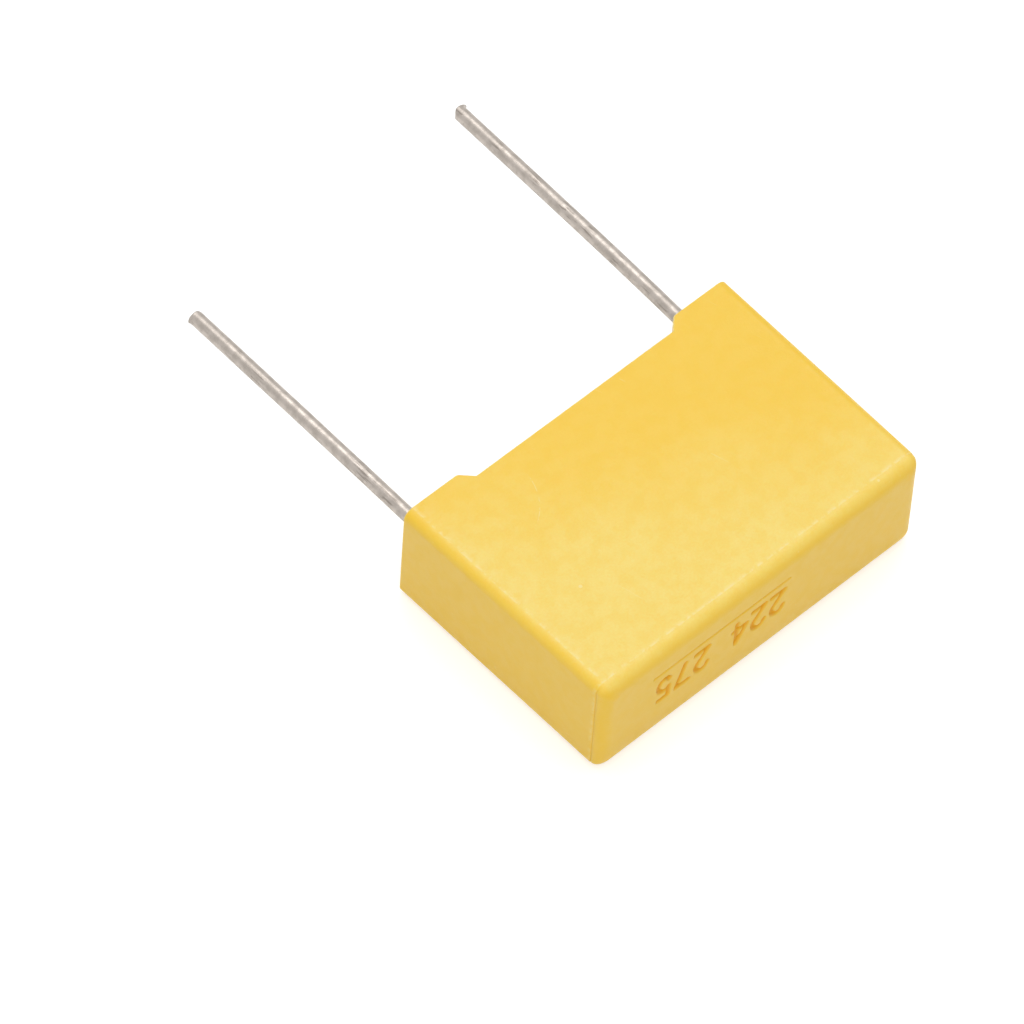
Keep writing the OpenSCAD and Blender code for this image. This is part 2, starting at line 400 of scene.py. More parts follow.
def case_columns(case):
    """The columns all around the case, counter-clockwise as seen from the open end's far side."""
    rim_y = CASE_HIGH.y
    recess = recess_points(case)
    reach = recess[0][0] + FEET_START
    columns = []

    def wear(side_x):
        """The right side's long edges have less of the pale edge line than the left side's."""
        return case.right_edge_line if side_x > 0 else 1.0

    def corner(side_x, side_z, start):
        """A long edge's round, from an angle on."""
        for step in range(ARC_STEPS + 1):
            turn = start + math.pi / 2 * step / ARC_STEPS
            facing_x, facing_z = math.cos(turn), math.sin(turn)
            edge = wear(side_x) if abs(facing_z) > 0.99 else 0.0
            # The round value is painted shade in the long edge's fillet, deepest halfway round it
            columns.append(Column(side_x * reach, side_x, side_z, facing_x, facing_z, rim_y, 0, -1, edge,
                                  math.sin(math.pi * step / ARC_STEPS)))

    def narrow_side(side_x):
        """The flat of a narrow side."""
        for place_z in SIDE_PLACES:
            columns.append(Column(side_x * reach, side_x, side_x * place_z, side_x, 0, rim_y, 0, -1, 0, 0))

    def flat_end(side_x, side_z, places):
        """The flat of a large face at one of its sides."""
        for spread, pale in places:
            columns.append(Column(side_x * reach, side_x * spread, side_z, 0, side_z, rim_y, 0, -1,
                                  pale * wear(side_x), 0))

    def large_face(side_z):
        """A large face, with its recess between its flat ends."""
        flat_end(side_z, side_z, FACE_PLACES[::-1])
        for x, y, into_x, into_y in recess:
            columns.append(Column(side_z * x, 0, side_z, 0, side_z, y, side_z * into_x, into_y, 0, 0))
        flat_end(-side_z, side_z, FACE_PLACES)

    narrow_side(1)
    corner(1, 1, 0)
    large_face(1)
    corner(-1, 1, math.pi / 2)
    narrow_side(-1)
    corner(-1, -1, math.pi)
    large_face(-1)
    corner(1, -1, 3 * math.pi / 2)
    return columns, reach


class CaseWalls:
    """Places points on the case's outer and inner walls."""

    def __init__(self, case):
        self.case = case
        self.columns, self.reach = case_columns(case)
        self.height = CASE_HIGH.y - CASE_LOW.y

    def wall_point(self, column, y, inset, radius, shift_x=0, face_inset=None):
        """A column's point, inset from the drafted outer wall, and by face_inset on the large faces."""
        down = (CASE_HIGH.y - y) / self.height
        if face_inset is None:
            face_inset = inset
        half_width = CASE_HIGH.x - self.case.side_draft * down - inset
        half_thickness = HALF_THICKNESS - self.case.face_draft * down - face_inset
        x = column.x + column.spread * (half_width - radius - self.reach) + column.facing_x * radius + shift_x
        z = column.up * (half_thickness - radius) + column.facing_z * radius
        return Vector((x, y, MIDDLE_Z + z))

    def outer(self, column, y, inset=0, face_inset=None):
        """A column's point on the outer wall away from the rim, or inset from it."""
        radius = self.case.long_edge_radius - inset
        return self.wall_point(column, y, inset, radius, column.into_x * FEET_SPREAD, face_inset)

    def inner(self, column, y, inset=0):
        """A column's point on the inner wall away from the rim, or inset from it."""
        radius = max(self.case.inner_radius - inset, SMALLEST_RADIUS)
        return self.wall_point(column, y, self.case.wall + inset, radius, column.into_x * FEET_SPREAD)

    def outer_rim(self, column, offset, inset):
        """A point near the rim: offset into the wall's face from the rim, and inset from the wall."""
        y = column.rim_y + column.into_y * offset
        return self.wall_point(column, y, inset, self.case.long_edge_radius - inset, column.into_x * offset)

    def inner_rim(self, column, offset, outset):
        """A point near the rim on the inner wall, set out into the wall from its face."""
        y = column.rim_y + column.into_y * offset
        return self.wall_point(column, y, self.case.wall - outset, self.case.inner_radius + outset,
                               column.into_x * offset)


def case_rows(walls):
    """All rows of the case's mesh, from the closed end's face over the rim to the cavity's floor."""
    case, columns = walls.case, walls.columns
    rows = []

    def add(points, edge=0.0, fillet=0.0, skin=1.0, lines=1.0, groove_shade=0.0):
        """skin is 1 on the outside and 0 on the inside. lines is how much of the long edges' lines shows."""
        row = []
        for column, point in zip(columns, points):
            side = column.facing_x ** 2
            pale = max(edge * (1 - (1 - SIDE_PALENESS) * side), column.edge * lines) * skin
            # Each point keeps its pale edge line, partly wear and partly a painted highlight, its painted
            # fillet shade and its painted groove shade
            row.append((point, pale, max(fillet, column.round) * skin, groove_shade * side))
        rows.append(row)

    closed_y = CASE_LOW.y
    parting_y = closed_y + case.end_edge_radius
    step = case.parting_step
    face_corner = case.face_corner_radius
    # The closed end's rounded edge, which starts a step inside the walls
    for index in range(ARC_STEPS + 1):
        turn = math.pi / 2 * (1 - index / ARC_STEPS)
        sink = 1 - math.cos(turn)
        inset = step + (case.end_side_radius - step) * sink
        face_inset = case.face_step + (case.end_face_radius - case.face_step) * sink
        y = closed_y + case.end_edge_radius * (1 - math.sin(turn))
        radius = face_corner + (case.long_edge_radius - step - face_corner) * math.cos(turn)
        # Painted shade on the closed end's fillet, deepest halfway round it
        add([walls.wall_point(c, y, inset, radius, c.into_x * FEET_SPREAD, face_inset) for c in columns],
            fillet=END_FILLET_SHADE * math.sin(2 * turn), lines=0.0)
    # The parting line: a narrow groove, then the rounded lip of the walls
    for up, depth, edge, groove_shade in PARTING_ROWS:
        face_depth = case.face_step * min(depth, 1)
        add([walls.outer(c, parting_y + up * MM, step * depth, face_depth) for c in columns],
            edge=edge, lines=PARTING_EDGE_LINES, groove_shade=groove_shade)
    start_y = parting_y + WALL_START
    end_y = CASE_HIGH.y - case.foot_height - WALL_END
    for index in range(WALL_STEPS + 1):
        y = start_y + (end_y - start_y) * index / WALL_STEPS
        add([walls.outer(c, y) for c in columns])
    # Towards the rim, the rows follow the feet and the recess
    for offset in RIM_OFFSETS:
        add([walls.outer_rim(c, offset, 0) for c in columns])
    for index in range(RIM_STEPS + 1):
        turn = math.pi / 2 * index / RIM_STEPS
        offset = case.rim_radius * (1 - math.sin(turn))
        inset = case.rim_radius * (1 - math.cos(turn))
        add([walls.outer_rim(c, offset, inset) for c in columns], edge=OUTER_RIM_LINE * math.sin(2 * turn))
    add([walls.outer_rim(c, 0, case.wall / 2) for c in columns], skin=0)
    for index in range(RIM_STEPS + 1):
        turn = math.pi / 2 * (1 - index / RIM_STEPS)
        offset = case.rim_radius * (1 - math.sin(turn))
        outset = case.rim_radius * (1 - math.cos(turn))
        add([walls.inner_rim(c, offset, outset) for c in columns],
            edge=INNER_RIM_LINE * math.sin(2 * turn), skin=INNER_RIM_LINE)
    for offset in RIM_OFFSETS[::-1]:
        add([walls.inner_rim(c, offset, 0) for c in columns], skin=0)
    floor_y = closed_y + case.wall
    for share in (0, 0.5, 1):
        y = end_y + (floor_y + case.inner_radius - end_y) * share
        add([walls.inner(c, y) for c in columns], skin=0)
    for index in range(1, FLOOR_STEPS + 1):
        turn = math.pi / 2 * index / FLOOR_STEPS
        inset = case.inner_radius * (1 - math.cos(turn))
        y = floor_y + case.inner_radius * (1 - math.sin(turn))
        add([walls.inner(c, y, inset) for c in columns], skin=0)
    return rows


# The strokes of each engraved figure, in a cell one unit wide and one high
FIGURES = {
    "2": [arc(0.5, 0.7, 0.42, 0.26, 165, -35, 16) + [(0.05, 0.04), (0.97, 0.04)]],
    "4": [[(0.74, 0.03), (0.74, 0.97), (0.03, 0.32), (0.97, 0.32)]],
    "5": [[(0.86, 0.95), (0.2, 0.95), (0.14, 0.53)] + arc(0.48, 0.33, 0.42, 0.29, 130, -145, 16)],
    "7": [[(0.06, 0.95), (0.94, 0.95), (0.36, 0.03)]],
    " ": [],
}

# Strokes narrower than this are less deep
FULL_DEPTH_WIDTH = 0.2 * MM
ENGRAVING_MARGIN = 0.35 * MM


def engraved_strokes(case):
    """Every stroke on the closed end: two points and half a width each. The figures stand on their heads."""
    strokes = []
    x = case.figures_start
    for figure in case.figures:
        for points in FIGURES[figure]:
            placed = [(x - across * case.figure_width, case.figure_base - up * case.figure_height)
                      for across, up in points]
            strokes += [(first, second, case.stroke_width / 2) for first, second in zip(placed, placed[1:])]
        x -= case.figure_pitch
    rule_z = case.figure_base + case.rule_gap
    start = case.figures_start + case.rule_overhang
    end = x + case.figure_pitch - case.figure_width - case.rule_overhang
    strokes.append(((start, rule_z), (end, rule_z), case.rule_width / 2))
    return strokes


def stroke_depth(x, z, strokes, softness):
    """How deep the engraving is at a point, from 0 to 1."""
    depth = 0
    for (ax, az), (bx, bz), half_width in strokes:
        along_x, along_z = bx - ax, bz - az
        share = ((x - ax) * along_x + (z - az) * along_z) / (along_x ** 2 + along_z ** 2)
        share = min(max(share, 0), 1)
        distance = math.hypot(x - ax - share * along_x, z - az - share * along_z)
        inside = min(max((half_width + softness / 2 - distance) / softness, 0), 1)
        width_share = min(2 * half_width / FULL_DEPTH_WIDTH, 1)
        depth = max(depth, inside * inside * (3 - 2 * inside) * width_share)
    return depth


def add_engraving(mesh, case, layer):
    """The fine part of the closed end's face, with the engraving sunk in. Returns its border's edges."""
    strokes = engraved_strokes(case)
    margin = ENGRAVING_MARGIN
    xs = [point[0] for stroke in strokes for point in stroke[:2]]
    zs = [point[1] for stroke in strokes for point in stroke[:2]]
    low_x, high_x = min(xs) - margin, max(xs) + margin
    low_z, high_z = min(zs) - margin, max(zs) + margin
    across = round((high_x - low_x) / case.engraving_grid)
    up = round((high_z - low_z) / case.engraving_grid)
    grid = []
    for row in range(up + 1):
        z = low_z + (high_z - low_z) * row / up
        near = [stroke for stroke in strokes
                if min(stroke[0][1], stroke[1][1]) - margin < z < max(stroke[0][1], stroke[1][1]) + margin]
        line = []
        for step in range(across + 1):
            x = low_x + (high_x - low_x) * step / across
            depth = stroke_depth(x, z, near, case.stroke_softness)
            vertex = mesh.verts.new((x, CASE_LOW.y + depth * case.engraving_depth, z))
            # The depth also sets how much painted shade the hollow gets
            vertex[layer] = depth
            line.append(vertex)
        grid.append(line)
    for lower, upper in zip(grid, grid[1:]):
        for step in range(across):
            mesh.faces.new((lower[step], lower[step + 1], upper[step + 1], upper[step]))
    right, left = [line[-1] for line in grid[1:]], [line[0] for line in grid[-2:0:-1]]
    return ring_edges(mesh, grid[0] + right + grid[-1][-2::-1] + left)


def build_case_mesh(case):
    """The whole case as one closed skin."""
    mesh = bmesh.new()
    edge_layer = mesh.verts.layers.float.new("edge_line")
    fillet_shade_layer = mesh.verts.layers.float.new("fillet")
    hollow_shade_layer = mesh.verts.layers.float.new("engraving")
    rings = []
    for row in case_rows(CaseWalls(case)):
        ring = []
        for point, edge, fillet, groove_shade in row:
            vertex = mesh.verts.new(point)
            vertex[edge_layer] = edge
            vertex[fillet_shade_layer] = fillet
            vertex[hollow_shade_layer] = groove_shade
            ring.append(vertex)
        rings.append(ring)
    for lower, upper in zip(rings, rings[1:]):
        join_rings(mesh, lower, upper)
    closed_end = ring_edges(mesh, rings[0]) + add_engraving(mesh, case, hollow_shade_layer)
    for edges in (closed_end, ring_edges(mesh, rings[-1])):
        bmesh.ops.triangle_fill(mesh, use_beauty=True, edges=edges)
    piece = skin_object("moulded_case", mesh)
    weight_normals(piece)
    return piece


# ---- Leads ----

AROUND_LEAD = 32
SEALED_ROWS = 14
FREE_ROWS = 70
TIP_ROWS = 8
TIP_EDGE_STEPS = 3
TIP_EDGE_RADIUS = 0.03 * MM
TIP_MARGIN = 0.05 * MM

# The sealed rows end this far below the resin's surface, the wire's flat side a little higher, and the
# tin coat starts just above the surface
SEALED_END = 0.6 * MM
FLAT_END = 0.5 * MM
COAT_START = 0.02 * MM

# The lean grows a little faster towards the tip, and the bow is deepest nearer the feet
LEAN_POWER = 1.15
BOW_POWER = 0.7

# Height and spread of the wire's unevenness
UNEVENNESS = 0.006 * MM
UNEVENNESS_SCALE = (900, 500)


class LeadShape:
    """Rings of points around one lead, along its slightly bent run and over its cut tip."""

    def __init__(self, node, side, lead, resin):
        self.lead = lead
        self.side = side
        self.low, self.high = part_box(node)
        right = side > 0
        name = "right" if right else "left"
        self.base_lean = getattr(lead, f"{name}_base_lean")
        self.tip_lean = getattr(lead, f"{name}_tip_lean")
        self.bow = getattr(lead, f"{name}_bow")
        self.burr = getattr(lead, f"{name}_burr")
        self.tip_round = getattr(lead, f"{name}_tip_round")
        self.tip_y = self.high.y + getattr(lead, f"{name}_tip_extra")
        self.middle_z = (self.low.z + self.high.z) / 2
        outermost = self.high.x if right else self.low.x
        self.centre_x = outermost - side * lead.wire_radius
        contact_low, contact_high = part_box("right_end_contact" if right else "left_end_contact")
        self.contact_x = contact_high.x if right else contact_low.x
        self.resin_y = CASE_HIGH.y - resin.surface_depth

    def centre(self, y):
        """Where the wire's middle is across the case at y."""
        if y <= self.resin_y:
            return self.centre_x
        if y <= CASE_HIGH.y:
            share = (y - self.resin_y) / (CASE_HIGH.y - self.resin_y)
            return self.centre_x + self.base_lean * share * share
        share = (y - CASE_HIGH.y) / (self.high.y - CASE_HIGH.y)
        lean = self.base_lean + (self.tip_lean - self.base_lean) * share ** LEAN_POWER
        return self.centre_x + lean + self.bow * math.sin(math.pi * min(share, 1) ** BOW_POWER)

    def tip_drop(self, across):
        """How far below the tip's top the cut lies, across the wire from its inner side."""
        lead = self.lead
        inner = max(1 - across / lead.tip_round_width, 0)
        outer = max(1 - (2 * lead.wire_radius - across) / lead.burr_round, 0)
        drop = self.tip_round * (1 - math.sqrt(max(1 - inner ** 2, 0)))
        return drop + lead.burr_round / 2 * (1 - math.sqrt(max(1 - outer ** 2, 0)))

    def ring(self, y, radius, follow_tip=0.0, sink=0.0):
        """A ring at y. follow_tip is how much of the cut's drop it takes, and sink lowers it further."""
        lead, side = self.lead, self.side
        across, along = UNEVENNESS_SCALE
        points = []
        flare = self.burr * max(1 - (self.tip_y - y) / lead.burr_reach, 0) ** 2 * radius / lead.wire_radius
        for step in range(AROUND_LEAD):
            turn = 2 * math.pi * step / AROUND_LEAD
            out_x, out_z = math.cos(turn), math.sin(turn)
            point_y = y - follow_tip * self.tip_drop(lead.wire_radius + side * out_x * radius) - sink
            x = self.centre(point_y) + out_x * (radius + flare * max(side * out_x, 0) ** 2)
            if point_y < self.resin_y - FLAT_END:
                x = side * max(side * x, side * self.contact_x)
            grow = UNEVENNESS * noise.noise(Vector((x * across, point_y * along, out_z * across)))
            points.append((x + out_x * grow, point_y, self.middle_z + out_z * (radius + grow)))
        return points


def lead_rings(shape):
    """All rings of a lead, from its end beside the winding to the middle of its cut tip."""
    lead, low_y, resin_y, tip_y = shape.lead, shape.low.y, shape.resin_y, shape.tip_y
    bare, wire = lead.bare_radius, lead.wire_radius
    sealed_y = resin_y - SEALED_END
    rings = []
    for step in range(SEALED_ROWS + 1):
        rings.append(shape.ring(low_y + (sealed_y - low_y) * step / SEALED_ROWS, bare))
    rings += [shape.ring(resin_y, bare), shape.ring(resin_y + COAT_START, wire)]
    body_end = tip_y - shape.tip_round - TIP_MARGIN
    for step in range(1, FREE_ROWS + 1):
        rings.append(shape.ring(resin_y + (body_end - resin_y) * step / FREE_ROWS, wire))
    # Between the straight body and the tip's edge, the rings lean towards the cut
    for step in range(1, TIP_ROWS):
        share = step / TIP_ROWS
        rings.append(shape.ring(body_end + (tip_y - TIP_EDGE_RADIUS - body_end) * share, wire, share))
    for step in range(TIP_EDGE_STEPS + 1):
        turn = math.pi / 2 * step / TIP_EDGE_STEPS
        radius = wire - TIP_EDGE_RADIUS * (1 - math.cos(turn))
        rings.append(shape.ring(tip_y, radius, 1.0, TIP_EDGE_RADIUS * (1 - math.sin(turn))))
    for share in (0.8, 0.6, 0.4, 0.2):
        rings.append(shape.ring(tip_y, (wire - TIP_EDGE_RADIUS) * share, 1.0))
    return rings


def build_lead_mesh(name, node, side, lead, resin):
    """A lead as a closed skin of rings, with a tip rounded and burred by the cutter."""
    mesh = bmesh.new()
    shape = LeadShape(node, side, lead, resin)
    rings = [[mesh.verts.new(point) for point in ring] for ring in lead_rings(shape)]
    for lower, upper in zip(rings, rings[1:]):
        join_rings(mesh, lower, upper)
    mesh.faces.new(rings[0][::-1])
    mesh.faces.new(rings[-1])
    return skin_object(name, mesh)


# ---- Resin ----

CORNER_STEPS = 6
BOTTOM_STEPS = 5
BORDER_SPACING = 0.2 * MM
LOOP_SPACING = 0.16 * MM
GRID_SPACING = 0.2 * MM

# The block's sides start this far below the level of its surface
SIDE_START = 0.3 * MM

# How far the loops of points lie from the walls and from the leads' bare wire
WALL_INSETS = [inset * MM for inset in (0.03, 0.07, 0.12, 0.17, 0.24)]
LEAD_OUTSETS = [outset * MM for outset in (-0.05, 0.0, 0.02, 0.05, 0.1, 0.16, 0.24)]
LOOP_TURN = 5

# A round loop: how many degrees it spans, and in how many steps
LEAD_LOOP = (355, 35)
BUBBLE_LOOP = (345, 15)
BUBBLE_RINGS = (0.01, 0.35, 0.65, 0.88, 0.99, 1.05, 1.25, 1.5)

# How far the wall's loops stay from the leads, the leads' loops from the walls, and the grid from all
LEAD_CLEARANCE = 0.05 * MM
WALL_CLEARANCE = 0.015 * MM
BUBBLE_CLEARANCE = 0.05 * MM
GRID_CLEARANCE = 0.3 * MM

# The part of the surface that has bubbles, their radii in millimetres and how far apart they are
BUBBLES_ACROSS = 0.85
BUBBLES_UP = 0.75
BUBBLE_SIZES = (0.05, 0.14)
BUBBLE_SPACING = 0.8 * MM

# A bubble's depth, the height of its lip and how far the lip reaches, as shares of its radius
BUBBLE_DEPTH = 0.7
BUBBLE_LIP = 0.12
LIP_REACH = 1.5

# The resin climbs along a curve of this power, and less where a wall and a lead both lift it
CLIMB_POWER = 2.5
SHARED_CLIMB = 0.4
RIPPLE = 0.015 * MM
RIPPLE_SCALE = 450

# The kind of division that keeps the triangles inside the outline, and the distance in millimetres
# within which it takes two points for one
INSIDE_OUTLINE = 1
MERGE_DISTANCE = 1e-6

POCKET_STEPS = 24
SHARP_ANGLE = 50


def outline_distance(x, z, half_width, half_thickness, radius):
    """How far inside an outline with round corners a point is."""
    out_x = abs(x) - (half_width - radius)
    out_z = abs(z) - (half_thickness - radius)
    return radius - math.hypot(max(out_x, 0), max(out_z, 0)) - min(max(out_x, out_z), 0)


def line_points(first, last, spacing):
    """The points between two others, about as far apart as the spacing."""
    steps = max(round(math.dist(first, last) / spacing), 1)
    return [tuple(a + (b - a) * step / steps for a, b in zip(first, last)) for step in range(1, steps)]


def outline_points(half_width, half_thickness, radius, spacing):
    """Points along an outline with round corners, as (x, z), counter-clockwise."""
    points = []
    for side_x, side_z, start in ((1, 1, 0), (-1, 1, 90), (-1, -1, 180), (1, -1, 270)):
        corner = arc(side_x * (half_width - radius), side_z * (half_thickness - radius), radius, radius,
                     start, start + 90, CORNER_STEPS)
        if points:
            points += line_points(points[-1], corner[0], spacing)
        points += corner
    return points + line_points(points[-1], points[0], spacing)


def round_loop(x, z, radius, loop, turn=0):
    """Points around a centre, from an angle on."""
    span, steps = loop
    return arc(x, z, radius, radius, turn, turn + span, steps)


class ResinSurface:
    """The height of the resin's surface, with its climb at the walls and leads and its burst bubbles."""

    def __init__(self, case, resin, lead):
        self.case = case
        self.resin = resin
        self.middle_z = (RESIN_LOW.z + RESIN_HIGH.z) / 2
        self.half_width = RESIN_HIGH.x
        self.half_thickness = (RESIN_HIGH.z - RESIN_LOW.z) / 2
        self.radius = case.inner_radius
        self.lead_radius = lead.bare_radius
        self.lead_x = -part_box("left_lead")[0].x - lead.wire_radius
        self.level = CASE_HIGH.y - resin.surface_depth
        random = Random(resin.seed)
        self.bubbles = []
        while len(self.bubbles) < resin.bubbles:
            x = random.uniform(-BUBBLES_ACROSS, BUBBLES_ACROSS) * self.lead_x
            z = random.uniform(-BUBBLES_UP, BUBBLES_UP) * self.half_thickness
            size = random.uniform(*BUBBLE_SIZES) * MM
            if all(math.hypot(x - other_x, z - other_z) > BUBBLE_SPACING
                   for other_x, other_z, _ in self.bubbles):
                self.bubbles.append((x, z, size))

    def wall_distance(self, x, z):
        """How far from the case's walls a point is."""
        return outline_distance(x, z, self.half_width, self.half_thickness, self.radius)

    def lead_distance(self, x, z):
        """How far from the nearer lead a point is."""
        return math.hypot(abs(x) - self.lead_x, z) - self.lead_radius

    def climb(self, distance, rise):
        """How far the resin climbs at a distance from a wall or a lead."""
        share = min(max(1 - distance / self.resin.climb_width, 0), 1)
        return rise * share ** CLIMB_POWER

    def height(self, x, z):
        """The height at a point of the surface, with z from the middle of the case."""
        resin = self.resin
        rise = self.climb(self.wall_distance(x, z), resin.wall_climb)
        collar = self.climb(self.lead_distance(x, z), resin.lead_climb)
        sag = -resin.sag * (1 - (x / self.half_width) ** 2) * (1 - (z / self.half_thickness) ** 2)
        ripple = RIPPLE * noise.noise(Vector((x * RIPPLE_SCALE, z * RIPPLE_SCALE, 0)))
        y = self.level + max(rise, collar) + SHARED_CLIMB * min(rise, collar) + sag + ripple
        for bubble_x, bubble_z, size in self.bubbles:
            share = math.hypot(x - bubble_x, z - bubble_z) / size
            if share < 1:
                y -= BUBBLE_DEPTH * size * math.sqrt(1 - share * share)
            elif share < LIP_REACH:
                y += BUBBLE_LIP * size * (LIP_REACH - share)
        return y

    def is_plain(self, x, z):
        """Whether a point is clear of the bubbles, the walls and the leads."""
        return (all(math.hypot(x - bubble_x, z - bubble_z) > size * LIP_REACH + BUBBLE_CLEARANCE
                    for bubble_x, bubble_z, size in self.bubbles)
                and self.wall_distance(x, z) > GRID_CLEARANCE and self.lead_distance(x, z) > GRID_CLEARANCE)

    def plan_points(self):
        """Points inside the outline: loops along the walls and around the leads and bubbles, and a grid."""
        points = []
        for inset in WALL_INSETS:
            radius = max(self.radius - inset, SMALLEST_RADIUS)
            loop = outline_points(self.half_width - inset, self.half_thickness - inset, radius, LOOP_SPACING)
            points += [point for point in loop if self.lead_distance(*point) > LEAD_CLEARANCE]
        for side in (-1, 1):
            for index, outset in enumerate(LEAD_OUTSETS):
                radius = self.lead_radius + outset
                loop = round_loop(side * self.lead_x, 0, radius, LEAD_LOOP, LOOP_TURN * index)
                points += [point for point in loop if self.wall_distance(*point) > WALL_CLEARANCE]
        for bubble_x, bubble_z, size in self.bubbles:
            for share in BUBBLE_RINGS:
                points += round_loop(bubble_x, bubble_z, size * share, BUBBLE_LOOP)
        across = int(self.half_width / GRID_SPACING)
        up = int(self.half_thickness / GRID_SPACING)
        for row in range(-up, up + 1):
            for step in range(-across, across + 1):
                x, z = (step + 0.5 * (row % 2)) * GRID_SPACING, row * GRID_SPACING
                if self.is_plain(x, z):
                    points.append((x, z))
        return points

    def side_point(self, x, z, y, inset):
        """The point of the block's side at y that belongs to a point of the surface's outline."""
        lean = (self.level - y) / (CASE_HIGH.y - CASE_LOW.y)
        radius = max(self.radius - inset, SMALLEST_RADIUS)
        half_width = self.half_width - self.case.side_draft * lean - inset
        half_thickness = self.half_thickness - self.case.face_draft * lean - inset
        flat_x, flat_z = self.half_width - self.radius, self.half_thickness - self.radius
        core_x, core_z = min(max(x, -flat_x), flat_x), min(max(z, -flat_z), flat_z)
        new_x = core_x * (half_width - radius) / flat_x + (x - core_x) * radius / self.radius
        new_z = core_z * (half_thickness - radius) / flat_z + (z - core_z) * radius / self.radius
        return new_x, y, self.middle_z + new_z


def build_resin_mesh(case, resin, lead):
    """The block of resin: its surface, and its sides and bottom against the case."""
    surface = ResinSurface(case, resin, lead)
    border = outline_points(surface.half_width, surface.half_thickness, surface.radius, BORDER_SPACING)
    # The surface is divided into triangles as seen along the leads, in millimetres
    scale = 1 / MM
    plan = [Vector((x * scale, z * scale)) for x, z in border + surface.plan_points()]
    loop = list(range(len(border)))
    edges = list(zip(loop, loop[1:] + loop[:1]))
    divided = geometry.delaunay_2d_cdt(plan, edges, [loop], INSIDE_OUTLINE, MERGE_DISTANCE)
    points, triangles = divided[0], divided[2]
    mesh = bmesh.new()
    top = []
    for point in points:
        x, z = point.x * MM, point.y * MM
        top.append(mesh.verts.new((x, surface.height(x, z), surface.middle_z + z)))
    for triangle in triangles:
        mesh.faces.new([top[index] for index in triangle])
    # The sides follow the cavity's draft and the round corners at its floor
    corner = case.inner_radius
    rows = [(surface.level - SIDE_START, 0.0), (RESIN_LOW.y + corner, 0.0)]
    for step in range(1, BOTTOM_STEPS + 1):
        turn = math.pi / 2 * step / BOTTOM_STEPS
        rows.append((RESIN_LOW.y + corner * (1 - math.sin(turn)), corner * (1 - math.cos(turn))))
    above = [top[index] for index in loop]
    for y, inset in rows:
        below = [mesh.verts.new(surface.side_point(x, z, y, inset)) for x, z in border]
        join_rings(mesh, above, below)
        above = below
    mesh.faces.new(above)
    return skin_object("cured_resin", mesh)


def build_pocket():
    """The room that the winding and its end contacts take up in the resin."""
    low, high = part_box("cover_film")
    start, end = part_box("left_end_contact")[0].x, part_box("right_end_contact")[1].x
    radius = (high.z - low.z) / 2
    middle_z = (high.z + low.z) / 2
    outline = arc(high.y - radius, middle_z, radius, radius, -90, 90, POCKET_STEPS)
    outline += arc(low.y + radius, middle_z, radius, radius, 90, 270, POCKET_STEPS)
    vertices = [(x, y, z) for x in (start, end) for y, z in outline]
    count = len(outline)
    faces = [(i, (i + 1) % count, count + (i + 1) % count, count + i) for i in range(count)]
    faces += [tuple(range(count))[::-1], tuple(range(count, 2 * count))]
    return plain_object("pocket", vertices, faces)


def cut_pockets(piece, cutters):
    """Takes the pieces that the resin holds out of its block."""
    for index, cutter in enumerate(cutters):
        modifier = piece.modifiers.new(f"Cut {index}", "BOOLEAN")
        modifier.operation = "DIFFERENCE"
        modifier.solver = "EXACT"
        modifier.object = cutter
        apply_modifiers(piece)


# ---- Materials ----

# A painted sheen pales the large faces towards the closed end and the left side: which way and how
# steeply, and between which levels. The sheen stays on the large faces: it sets in and is complete at
# these distances from the case's middle.
SHEEN_DIRECTION = (-25.0, -50.0, 0.0)
SHEEN_LEVELS = (-0.2, 0.26)
SHEEN_HEIGHTS = (2.4 * MM, 2.75 * MM)

# The scuff is bounded by these fades: axis, where it has gone, where it is strongest, in millimetres,
# and how strong it is there
SCUFF_FADES = (("Z", 5.0, 5.2, 1.0), ("X", -5.3, -4.9, 1.0), ("Y", 4.3, 4.1, 0.5))


def set_inputs(tree, node, inputs):
    """Links the inputs that are given a socket, and sets the others. Colours are given without alpha."""
    for key, value in inputs.items():
        socket = node.inputs[key]
        if isinstance(value, bpy.types.NodeSocket):
            tree.links.new(value, socket)
        elif socket.type == "RGBA":
            socket.default_value = (*value, 1)
        else:
            socket.default_value = value


def add_node(tree, kind, inputs=None, **settings):
    """A new node with its settings and inputs."""
    node = tree.nodes.new(kind)
    for key, value in settings.items():
        setattr(node, key, value)
    set_inputs(tree, node, inputs or {})
    return node


def new_material(name):
    """A new material with its node tree and its shader."""
    material = bpy.data.materials.new(name)
    material.use_nodes = True
    return material, material.node_tree, material.node_tree.nodes["Principled BSDF"]


def shader_group(name, inputs, outputs):
    """A new node group, with its inputs as (name, default) and its outputs by name."""
    group = bpy.data.node_groups.new(name, "ShaderNodeTree")
    for label, default in inputs:
        kind = "NodeSocketVector" if default is None else "NodeSocketFloat"
        socket = group.interface.new_socket(label, in_out="INPUT", socket_type=kind)
        if default is not None:
            socket.default_value = default
    for label in outputs:
        group.interface.new_socket(label, in_out="OUTPUT", socket_type="NodeSocketFloat")
    entry = group.nodes.new("NodeGroupInput")
    leave = group.nodes.new("NodeGroupOutput")
    return group, entry.outputs, leave.inputs


def math_node(tree, operation, first, second=0.5):
    """The result of a sum, product or comparison."""
    return add_node(tree, "ShaderNodeMath", {0: first, 1: second}, operation=operation).outputs[0]


def product(tree, first, *others):
    """The product of several values."""
    for other in others:
        first = math_node(tree, "MULTIPLY", first, other)
    return first


def weighted_sum(tree, first, first_weight, second, second_weight):
    """The sum of two values, each times its weight."""
    return math_node(tree, "ADD", product(tree, first, first_weight), product(tree, second, second_weight))


def vector_node(tree, operation, first, second):
    """A node that works on two vectors."""
    return add_node(tree, "ShaderNodeVectorMath", {0: first, 1: second}, operation=operation)


def noise_texture(tree, where, scale, **inputs):
    """The value of a noise texture."""
    return add_node(tree, "ShaderNodeTexNoise", {"Vector": where, "Scale": scale, **inputs}).outputs[0]


